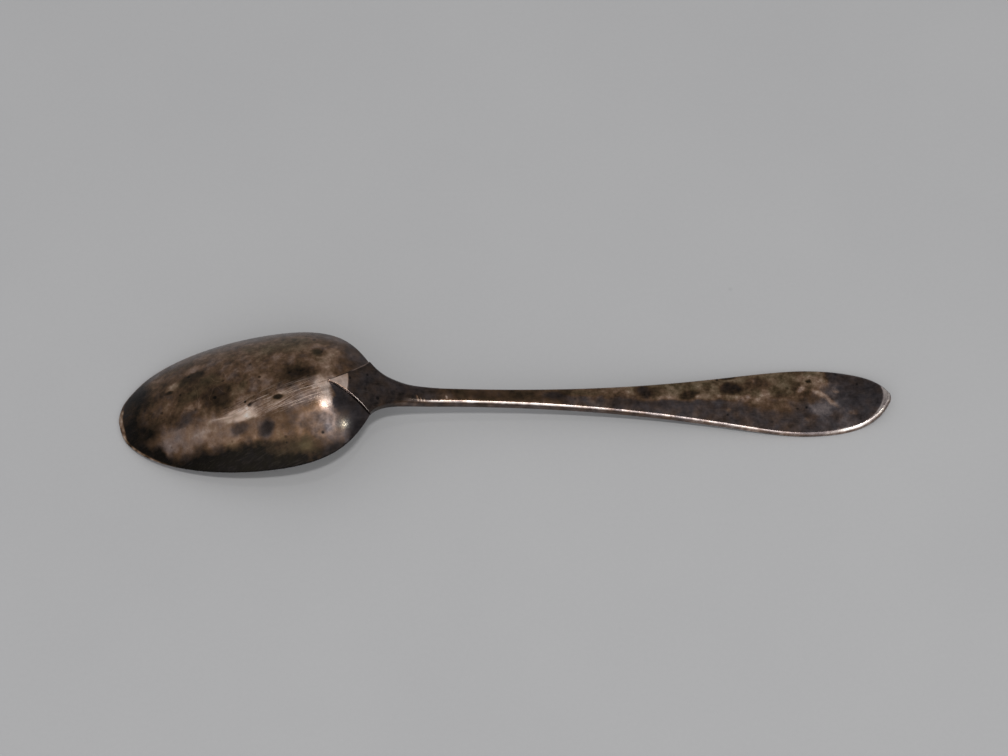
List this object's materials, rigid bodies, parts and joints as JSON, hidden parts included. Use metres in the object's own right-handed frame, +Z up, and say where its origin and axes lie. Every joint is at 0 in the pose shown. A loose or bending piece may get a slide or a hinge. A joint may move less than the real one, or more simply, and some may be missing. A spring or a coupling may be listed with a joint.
{
  "type": "teaspoon",
  "caption": "Old silver teaspoon lying face down, with an egg-shaped bowl, a pointed drop on its back, a slender stem and a broad pointed blade.",
  "frame": {"origin": "middle of the bounding box, on the table", "axes": "+X along the spoon from the bowl's tip to the handle's pointed end, +Y across it, +Z up from the table to the back of the bowl"},
  "size_m": [0.14, 0.0278, 0.0137],
  "materials": {
    "tarnished_silver": "worn satin with brown and purple tarnish, paler where it is rubbed",
    "silver_solder": "dull, seen only as a hairline round the drop"
  },
  "bodies": {
    "root": {"bowl": "tarnished_silver", "handle": "tarnished_silver", "solder_seam": "silver_solder"}
  },
  "joints": []
}
